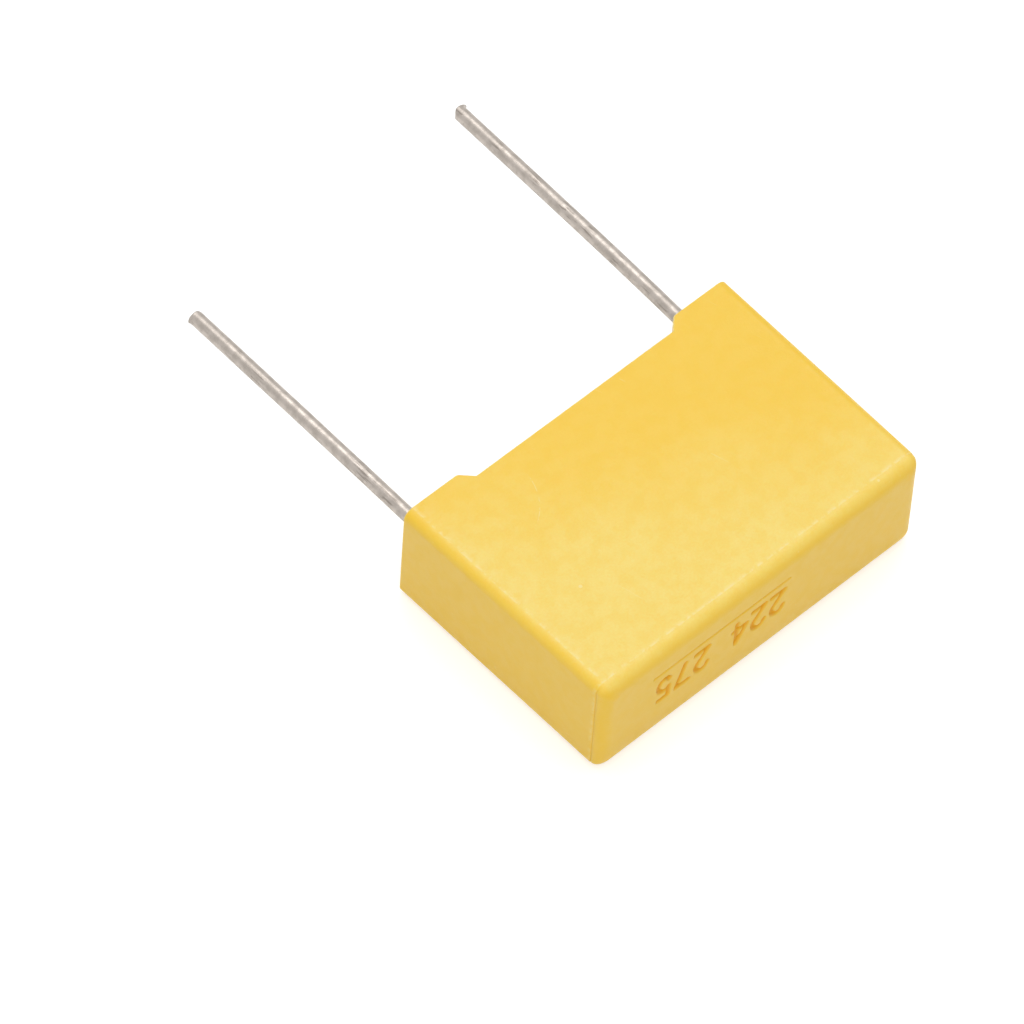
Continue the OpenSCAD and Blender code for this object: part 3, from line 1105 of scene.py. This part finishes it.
def band(tree, value, low, high, to_low=0.0, to_high=1.0):
    """A smooth step of a value from one level to another."""
    inputs = {"Value": value, "From Min": low, "From Max": high, "To Min": to_low, "To Max": to_high}
    return add_node(tree, "ShaderNodeMapRange", inputs, interpolation_type="SMOOTHSTEP").outputs[0]


def blend_colours(tree, share, first, second):
    """A colour between two others."""
    return add_node(tree, "ShaderNodeMix", {0: share, 6: first, 7: second}, data_type="RGBA").outputs[2]


def place_group(tree, group, **inputs):
    """A group's outputs, with its inputs linked or set. Underscores stand for spaces in their names."""
    values = {key.replace("_", " "): value for key, value in inputs.items()}
    return add_node(tree, "ShaderNodeGroup", values, node_tree=bpy.data.node_groups[group]).outputs


def object_coordinates(tree):
    """The place of each point in its object's own frame."""
    return add_node(tree, "ShaderNodeTexCoord").outputs["Object"]


def attribute(tree, name):
    """A value that the mesh holds at its points."""
    return add_node(tree, "ShaderNodeAttribute", attribute_name=name).outputs["Fac"]


def bump(tree, height, strength, distance, normal=None):
    """A bump of a height, on top of another bump if one is given. The distance is in metres."""
    inputs = {"Height": height, "Strength": strength, "Distance": distance}
    if normal is not None:
        inputs["Normal"] = normal
    return add_node(tree, "ShaderNodeBump", inputs).outputs[0]


def build_groups():
    """The effects that several materials share."""
    group, given, result = shader_group(
        "Grain", (("Coordinates", None), ("Grain Scale", 9000.0), ("Patch Scale", 700.0)),
        ("Grain", "Patches"))
    where = given["Coordinates"]
    fine = noise_texture(group, where, given["Grain Scale"], Detail=3.0, Roughness=0.6)
    wide = noise_texture(group, where, given["Patch Scale"], Detail=4.0, Roughness=0.55)
    group.links.new(fine, result["Grain"])
    group.links.new(band(group, wide, 0.35, 0.65), result["Patches"])

    group, given, result = shader_group(
        "Scratches", (("Coordinates", None), ("Turn", 0.5), ("Scale", 250.0), ("Stretch", 30.0),
                      ("Share", 0.1)), ("Scratches",))
    where = given["Coordinates"]
    turned = add_node(group, "ShaderNodeVectorRotate", {"Vector": where, "Angle": given["Turn"]},
                      rotation_type="Z_AXIS").outputs[0]
    stretch = {"X": given["Stretch"], "Y": 1.0, "Z": given["Stretch"]}
    squeeze = add_node(group, "ShaderNodeCombineXYZ", stretch).outputs[0]
    drawn = vector_node(group, "MULTIPLY", turned, squeeze).outputs[0]
    lines = noise_texture(group, drawn, given["Scale"], Detail=1.0, Roughness=0.5)
    spots = noise_texture(group, where, given["Scale"], Detail=2.0)
    limit = math_node(group, "SUBTRACT", 0.8, given["Share"])
    line = band(group, lines, limit, math_node(group, "ADD", limit, 0.05))
    here = band(group, spots, 0.5, 0.62)
    group.links.new(product(group, line, here), result["Scratches"])

    group, given, result = shader_group(
        "Specks", (("Coordinates", None), ("Scale", 1500.0), ("Share", 0.1), ("Size", 0.16)), ("Specks",))
    cells = add_node(group, "ShaderNodeTexVoronoi", {"Vector": given["Coordinates"], "Scale": given["Scale"]})
    chosen = add_node(group, "ShaderNodeSeparateColor", {0: cells.outputs["Color"]}).outputs
    keep = math_node(group, "LESS_THAN", chosen[0], given["Share"])
    size = product(group, given["Size"], chosen[1])
    dot = math_node(group, "LESS_THAN", cells.outputs["Distance"], size)
    group.links.new(product(group, keep, dot), result["Specks"])


def painted_sheen_share(tree, where, height, patches):
    """How much painted sheen the large faces have at a place."""
    along = vector_node(tree, "DOT_PRODUCT", where, SHEEN_DIRECTION).outputs["Value"]
    sheen_level = math_node(tree, "ADD", along, product(tree, patches, 0.08))
    from_middle = math_node(tree, "ABSOLUTE", math_node(tree, "SUBTRACT", height, MIDDLE_Z))
    return product(tree, band(tree, sheen_level, *SHEEN_LEVELS), band(tree, from_middle, *SHEEN_HEIGHTS))


def curved_scuff(tree, case, where, axes, rubbed):
    """One curved, broken scuff on the upper face."""
    flat = vector_node(tree, "MULTIPLY", where, (1, 1, 0)).outputs[0]
    reach = vector_node(tree, "DISTANCE", flat, case.scuff_centre).outputs["Value"]
    off_line = math_node(tree, "ABSOLUTE", math_node(tree, "SUBTRACT", reach, case.scuff_radius))
    line = band(tree, off_line, 0, case.scuff_width / 2, 1, 0)
    fades = [band(tree, axes[axis], gone * MM, strong * MM, 0, strength)
             for axis, gone, strong, strength in SCUFF_FADES]
    return product(tree, line, *fades, band(tree, rubbed, 0.42, 0.5))


def plastic_material(case):
    """Moulded plastic: faintly mottled, with painted shade in its fillets and hollows, a painted sheen on the
    large faces towards the closed end, and pale edge lines that are partly rubbed wear and partly a painted
    highlight.
    """
    material, tree, shader = new_material("moulded_plastic")
    where = object_coordinates(tree)
    axes = add_node(tree, "ShaderNodeSeparateXYZ", {"Vector": where}).outputs
    grain = place_group(tree, "Grain", Coordinates=where, Grain_Scale=9000, Patch_Scale=1700)
    broad = place_group(tree, "Grain", Coordinates=where, Grain_Scale=2600, Patch_Scale=230)
    scratches = place_group(tree, "Scratches", Coordinates=where, Turn=-0.3, Scale=420, Stretch=16,
                            Share=0.07)
    specks = place_group(tree, "Specks", Coordinates=where, Scale=1500, Share=0.12, Size=0.13)
    # Noise that breaks up the pale edge lines and the scuff
    rubbed = noise_texture(tree, where, 3600, Detail=4.0)
    # Painted sheen on the large faces towards the closed end
    painted_sheen = painted_sheen_share(tree, where, axes["Z"], broad["Patches"])
    base = blend_colours(tree, painted_sheen, case.plastic, case.sheen_plastic)
    mottling = weighted_sum(tree, grain["Patches"], 0.18, grain["Grain"], 0.6)
    base = blend_colours(tree, mottling, base, case.warm_plastic)
    # Painted shade: the fillets take the deeper colour
    fillet = product(tree, attribute(tree, "fillet"), case.fillet_shade_strength)
    base = blend_colours(tree, fillet, base, case.shaded_fillet_plastic)
    # Painted shade in the engraving's hollows and the parting groove
    hollow = product(tree, attribute(tree, "engraving"), case.hollow_shade_strength)
    base = blend_colours(tree, hollow, base, case.hollow_shade_plastic)
    # Pale edge lines: partly rubbed wear and partly a painted highlight, broken up by noise
    edge = product(tree, attribute(tree, "edge_line"), band(tree, rubbed, 0.38, 0.62), case.edge_wear_and_highlight)
    marks = math_node(tree, "MAXIMUM", product(tree, scratches["Scratches"], 0.25),
                      product(tree, specks["Specks"], 0.45))
    marks = math_node(tree, "MAXIMUM", marks, curved_scuff(tree, case, where, axes, rubbed))
    pale = math_node(tree, "MAXIMUM", marks, edge)
    dull = weighted_sum(tree, grain["Patches"], 0.1, pale, 0.25)
    normal = bump(tree, grain["Grain"], strength=0.3, distance=0.02 * MM)
    normal = bump(tree, grain["Patches"], strength=0.15, distance=0.03 * MM, normal=normal)
    set_inputs(tree, shader, {
        "Base Color": blend_colours(tree, pale, base, case.worn_highlight_plastic),
        "Roughness": math_node(tree, "ADD", dull, 0.36),
        "Normal": bump(tree, marks, strength=0.4, distance=0.01 * MM, normal=normal),
        "Specular IOR Level": 0.3,
        "Subsurface Weight": 0.12,
        "Subsurface Radius": (1.0, 0.6, 0.15),
        "Subsurface Scale": 0.4 * MM,
    })
    return material


def resin_material(resin):
    """Cured potting resin: glassy, with cloudy patches and specks of filler."""
    material, tree, shader = new_material("cured_resin")
    where = object_coordinates(tree)
    grain = place_group(tree, "Grain", Coordinates=where, Grain_Scale=5000, Patch_Scale=330)
    specks = place_group(tree, "Specks", Coordinates=where, Scale=2400, Share=0.2, Size=0.3)
    cloudy = blend_colours(tree, product(tree, grain["Patches"], 0.5), resin.resin, resin.cloudy_resin)
    set_inputs(tree, shader, {
        "Base Color": blend_colours(tree, product(tree, specks["Specks"], 0.5), cloudy, resin.cloudy_resin),
        "Roughness": band(tree, grain["Patches"], 0.0, 1.0, 0.16, 0.32),
        "Normal": bump(tree, grain["Patches"], strength=0.2, distance=0.05 * MM),
        "Subsurface Weight": 0.2,
        "Subsurface Radius": (1.0, 0.8, 0.4),
        "Subsurface Scale": 0.6 * MM,
    })
    return material


def metal_material(name, bright, dull, marks, roughness, patch_scale, turn, stretch, share):
    """Worn metal: dull patches, drawn marks of another colour and a fine grain."""
    material, tree, shader = new_material(name)
    where = object_coordinates(tree)
    grain = place_group(tree, "Grain", Coordinates=where, Grain_Scale=16000, Patch_Scale=patch_scale)
    drawn = place_group(tree, "Scratches", Coordinates=where, Turn=turn, Scale=900, Stretch=stretch,
                        Share=share)
    specks = place_group(tree, "Specks", Coordinates=where, Scale=3500, Share=0.12, Size=0.3)
    worn = weighted_sum(tree, grain["Patches"], 0.6, grain["Grain"], 0.4)
    base = blend_colours(tree, worn, bright, dull)
    base = blend_colours(tree, product(tree, drawn["Scratches"], 0.7), base, marks)
    normal = bump(tree, grain["Grain"], strength=0.35, distance=0.01 * MM)
    normal = bump(tree, grain["Patches"], strength=0.2, distance=0.01 * MM, normal=normal)
    set_inputs(tree, shader, {
        "Base Color": blend_colours(tree, product(tree, specks["Specks"], 0.7), base, bright),
        "Roughness": band(tree, worn, 0.0, 1.0, roughness, roughness + 0.12),
        "Metallic": 1.0,
        "Normal": bump(tree, drawn["Scratches"], strength=0.5, distance=0.01 * MM, normal=normal),
    })
    return material


def film_material(name, bright, dull, roughness, metallic, turns):
    """Wound film: fine lines where one turn lies over the next."""
    material, tree, shader = new_material(name)
    where = object_coordinates(tree)
    grain = place_group(tree, "Grain", Coordinates=where, Grain_Scale=6000, Patch_Scale=400)
    waves = {"Vector": where, "Scale": turns, "Distortion": 0.6, "Detail": 2.0}
    lines = add_node(tree, "ShaderNodeTexWave", waves, bands_direction="X").outputs["Fac"]
    share = product(tree, lines, grain["Patches"])
    set_inputs(tree, shader, {
        "Base Color": blend_colours(tree, share, bright, dull),
        "Roughness": band(tree, share, 0.0, 1.0, roughness, roughness + 0.15),
        "Metallic": metallic,
        "Normal": bump(tree, lines, strength=0.2, distance=0.01 * MM),
    })
    return material


# ---- Stage ----

FLOOR_HALF = 2.0
FLOOR_GLOW = 0.5
SENSOR_WIDTH = 36

# Each softbox: its direction from the part, its distance and the length of its sides
KEY_SOFTBOX = ((0.2, 0.2, 0.96), 0.35, 0.28)
FILL_SOFTBOX = ((-0.52, -0.54, 0.66), 0.5, 0.4)


def seen_ray(tree):
    """1 for rays that show the stage to the camera, straight or by a reflection, and 0 for other rays."""
    path = add_node(tree, "ShaderNodeLightPath").outputs
    seen = math_node(tree, "MAXIMUM", path["Is Camera Ray"], path["Is Glossy Ray"])
    return math_node(tree, "MAXIMUM", seen, path["Is Transmission Ray"])


def build_floor(stage):
    """A wide floor, which glows a little for the rays that show it and not for the light on the part."""
    half = FLOOR_HALF
    corners = [(-half, -half, 0), (half, -half, 0), (half, half, 0), (-half, half, 0)]
    floor = plain_object("studio_floor", corners, [(0, 1, 2, 3)])
    material, tree, shader = new_material("floor_sheet")
    set_inputs(tree, shader, {"Base Color": stage.floor, "Roughness": 0.9, "Specular IOR Level": 0.0})
    glow = add_node(tree, "ShaderNodeEmission", {"Color": (1, 1, 1), "Strength": FLOOR_GLOW})
    both = add_node(tree, "ShaderNodeAddShader", {0: shader.outputs[0], 1: glow.outputs[0]})
    mix = add_node(tree, "ShaderNodeMixShader",
                   {"Fac": seen_ray(tree), 1: shader.outputs[0], 2: both.outputs[0]})
    tree.links.new(mix.outputs[0], tree.nodes["Material Output"].inputs["Surface"])
    floor.data.materials.append(material)


def add_softbox(name, direction, distance, size, brightness):
    """A square lamp that faces the part. Its power gives its face the brightness."""
    lamp = bpy.data.lights.new(name, "AREA")
    lamp.shape = "SQUARE"
    lamp.size = size
    lamp.energy = brightness * math.pi * size ** 2
    softbox = new_object(name, lamp)
    towards = Vector(direction).normalized()
    softbox.location = towards * distance
    softbox.rotation_euler = towards.to_track_quat("Z", "Y").to_euler()


def light_scene(scene, stage):
    """A white sky, dimmer for the light on the part than where it is seen, and two softboxes."""
    world = bpy.data.worlds.new("studio_sky")
    world.use_nodes = True
    scene.world = world
    tree = world.node_tree
    levels = {"Value": seen_ray(tree), "To Min": stage.sky_brightness, "To Max": 1.0}
    strength = add_node(tree, "ShaderNodeMapRange", levels).outputs[0]
    set_inputs(tree, tree.nodes["Background"], {"Strength": strength, "Color": (1, 1, 1)})
    add_softbox("key_softbox", *KEY_SOFTBOX, stage.key_brightness)
    add_softbox("fill_softbox", *FILL_SOFTBOX, stage.fill_brightness)


def aim_camera(scene, stage):
    """The camera, turned around the target and rolled around its own axis."""
    level = math.cos(stage.elevation)
    look = Vector((-math.sin(stage.azimuth) * level, math.cos(stage.azimuth) * level,
                   -math.sin(stage.elevation)))
    level_right = look.cross(Vector((0, 0, 1))).normalized()
    level_up = level_right.cross(look)
    right = level_right * math.cos(stage.roll) + level_up * math.sin(stage.roll)
    up = level_up * math.cos(stage.roll) - level_right * math.sin(stage.roll)
    data = bpy.data.cameras.new("camera")
    data.lens = stage.lens
    data.sensor_width = SENSOR_WIDTH
    camera = new_object("camera", data)
    camera.matrix_world = (Matrix.Translation(Vector(stage.target) - look * stage.distance)
                           @ Matrix((right, up, -look)).transposed().to_4x4())
    scene.camera = camera
    scene.view_settings.view_transform = "Standard"


# ---- Operators ----

class CAPACITOR_OT_build_stage(bpy.types.Operator):
    """Sets up the floor, the light and the camera"""

    bl_idname = "capacitor.build_stage"
    bl_label = "Build stage"

    def execute(self, context):
        stage = context.scene.capacitor_stage
        build_floor(stage)
        light_scene(context.scene, stage)
        aim_camera(context.scene, stage)
        return {"FINISHED"}


class CAPACITOR_OT_build_case(bpy.types.Operator):
    """Builds the moulded case"""

    bl_idname = "capacitor.build_case"
    bl_label = "Build case"

    def execute(self, context):
        case = context.scene.capacitor_case
        place(build_case_mesh(case), plastic_material(case), "case_plastic", "case")
        return {"FINISHED"}


class CAPACITOR_OT_build_leads(bpy.types.Operator):
    """Builds the two tinned leads"""

    bl_idname = "capacitor.build_leads"
    bl_label = "Build leads"

    def execute(self, context):
        lead, resin = context.scene.capacitor_lead, context.scene.capacitor_resin
        tin = metal_material("tin", lead.tin, lead.dull_tin, lead.drawn_tin, roughness=0.3,
                             patch_scale=2600, turn=0.0, stretch=16, share=0.24)
        leads = (("left_tinned_lead", "left_lead", -1), ("right_tinned_lead", "right_lead", 1))
        for name, node, side in leads:
            place(build_lead_mesh(name, node, side, lead, resin), tin, "tinned_wire", node)
        return {"FINISHED"}


class CAPACITOR_OT_build_resin(bpy.types.Operator):
    """Builds the potting resin around the leads and the winding"""

    bl_idname = "capacitor.build_resin"
    bl_label = "Build resin"

    def execute(self, context):
        scene = context.scene
        piece = build_resin_mesh(scene.capacitor_case, scene.capacitor_resin, scene.capacitor_lead)
        pocket = build_pocket()
        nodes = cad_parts
        cut_pockets(piece, [pocket, nodes["left_solder_joint"], nodes["right_solder_joint"],
                            bpy.data.objects["left_tinned_lead"], bpy.data.objects["right_tinned_lead"]])
        bpy.data.objects.remove(pocket)
        piece.data.shade_smooth()
        piece.data.set_sharp_from_angle(angle=math.radians(SHARP_ANGLE))
        weight_normals(piece)
        place(piece, resin_material(scene.capacitor_resin), "potting_resin", "potting_resin")
        return {"FINISHED"}


class CAPACITOR_OT_dress_winding(bpy.types.Operator):
    """Gives the film winding and its cover film their finish"""

    bl_idname = "capacitor.dress_winding"
    bl_label = "Dress winding"

    def execute(self, context):
        inner = context.scene.capacitor_inner
        dress("film_winding", film_material("metallised_film", inner.film, inner.dull_film,
                                            roughness=0.2, metallic=0.9, turns=900))
        dress("cover_film", film_material("plain_film", inner.cover, inner.dull_cover,
                                          roughness=0.25, metallic=0.0, turns=300))
        return {"FINISHED"}


class CAPACITOR_OT_dress_contacts(bpy.types.Operator):
    """Gives the end contacts and the solder joints their finish"""

    bl_idname = "capacitor.dress_contacts"
    bl_label = "Dress contacts"

    def execute(self, context):
        inner = context.scene.capacitor_inner
        sprayed = metal_material("sprayed_zinc", inner.zinc, inner.dull_zinc, inner.zinc, roughness=0.55,
                                 patch_scale=5000, turn=0.3, stretch=3, share=0.05)
        solder = metal_material("solder", inner.solder, inner.dull_solder, inner.solder, roughness=0.18,
                                patch_scale=900, turn=0.9, stretch=4, share=0.04)
        for side in ("left", "right"):
            dress(f"{side}_end_contact", sprayed)
            dress(f"{side}_solder_joint", solder)
        return {"FINISHED"}


class CAPACITOR_PT_sidebar(bpy.types.Panel):
    """The capacitor's pieces and settings"""

    bl_idname = "CAPACITOR_PT_sidebar"
    bl_label = "Box film capacitor"
    bl_space_type = "VIEW_3D"
    bl_region_type = "UI"
    bl_category = "Capacitor"

    def draw(self, context):
        for operator in OPERATORS:
            self.layout.operator(operator.bl_idname)
        for name, settings in SETTINGS.items():
            box = self.layout.box()
            for setting in settings.__annotations__:
                box.prop(getattr(context.scene, name), setting)


SETTINGS = {
    "capacitor_case": CaseSettings,
    "capacitor_resin": ResinSettings,
    "capacitor_lead": LeadSettings,
    "capacitor_inner": InnerSettings,
    "capacitor_stage": StageSettings,
}
OPERATORS = (
    CAPACITOR_OT_build_stage,
    CAPACITOR_OT_build_case,
    CAPACITOR_OT_build_leads,
    CAPACITOR_OT_build_resin,
    CAPACITOR_OT_dress_winding,
    CAPACITOR_OT_dress_contacts,
)


def register():
    """Adds the settings, the operators and the panel."""
    for settings in SETTINGS.values():
        bpy.utils.register_class(settings)
    for name, settings in SETTINGS.items():
        setattr(bpy.types.Scene, name, PointerProperty(type=settings))
    for item in (*OPERATORS, CAPACITOR_PT_sidebar):
        bpy.utils.register_class(item)


def unregister():
    """Takes them away again."""
    for item in reversed((*OPERATORS, CAPACITOR_PT_sidebar)):
        bpy.utils.unregister_class(item)
    for name in SETTINGS:
        delattr(bpy.types.Scene, name)
    for settings in SETTINGS.values():
        bpy.utils.unregister_class(settings)


def main():
    """Builds everything."""
    register()
    build_groups()
    bpy.ops.capacitor.build_stage()
    bpy.ops.capacitor.build_case()
    bpy.ops.capacitor.build_leads()
    bpy.ops.capacitor.build_resin()
    bpy.ops.capacitor.dress_winding()
    bpy.ops.capacitor.dress_contacts()


if __name__ == "__main__":
    main()
